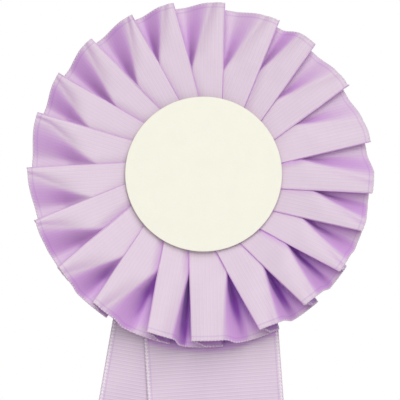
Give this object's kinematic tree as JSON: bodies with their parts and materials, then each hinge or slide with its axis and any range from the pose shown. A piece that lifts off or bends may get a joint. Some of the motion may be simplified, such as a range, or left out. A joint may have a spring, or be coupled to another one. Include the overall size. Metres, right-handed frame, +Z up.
{
  "type": "award ribbon",
  "caption": "Award rosette with a pleated satin ruffle, a round card centre, two ribbon tails and a brooch pin with a roll-over catch on its back.",
  "frame": {"origin": "middle of the brooch bar, on the plane of the backing card's back", "axes": "+Z up along the hanging rosette, +X to the right of someone who faces it, and the front faces -Y"},
  "size_m": [0.0973, 0.0219, 0.25],
  "materials": {
    "ruffle_satin": "satin",
    "tail_satin": "satin",
    "cream_card": "matte",
    "grey_board": "matte",
    "white_card": "matte",
    "hot_melt": "satin",
    "thread": "matte",
    "adhesive_film": "satin",
    "foam": "matte",
    "steel_wire": "bright drawn wire",
    "nickel": "nickel plated"
  },
  "bodies": {
    "rosette": {"centre_face": "cream_card", "centre_board": "grey_board", "centre_glue": "hot_melt", "ruffle": "ruffle_satin", "gathering_thread": "thread", "base_card": "grey_board", "backing_tape": "adhesive_film", "backing_card": "white_card", "front_tail_head": "tail_satin", "back_tail_head": "tail_satin", "staple_upper": "steel_wire", "staple_lower": "steel_wire", "pin_tape": "foam", "pin_plate": "nickel", "pin_rivet": "nickel"},
    "front_tail": {"front_tail": "tail_satin"},
    "back_tail": {"back_tail": "tail_satin"},
    "needle": {"pin_needle": "nickel"},
    "catch": {"pin_catch": "nickel"}
  },
  "joints": [
    {"name": "front_tail_swing", "type": "hinge", "parent": "rosette", "child": "front_tail", "pos_m": [0, -0.0036, -0.0624], "axis": [-1, 0, 0], "range_deg": [0, 75]},
    {"name": "back_tail_swing", "type": "hinge", "parent": "rosette", "child": "back_tail", "pos_m": [0, -0.0029, -0.0624], "axis": [1, 0, 0], "range_deg": [0, 75]},
    {"name": "needle_swing", "type": "hinge", "parent": "rosette", "child": "needle", "pos_m": [-0.013, 0.0043, 0], "axis": [0, 0, 1], "range_deg": [0, 110]},
    {"name": "catch_roll", "type": "hinge", "parent": "rosette", "child": "catch", "pos_m": [0.012, 0.0043, 0], "axis": [1, 0, 0], "range_deg": [0, 90]}
  ]
}
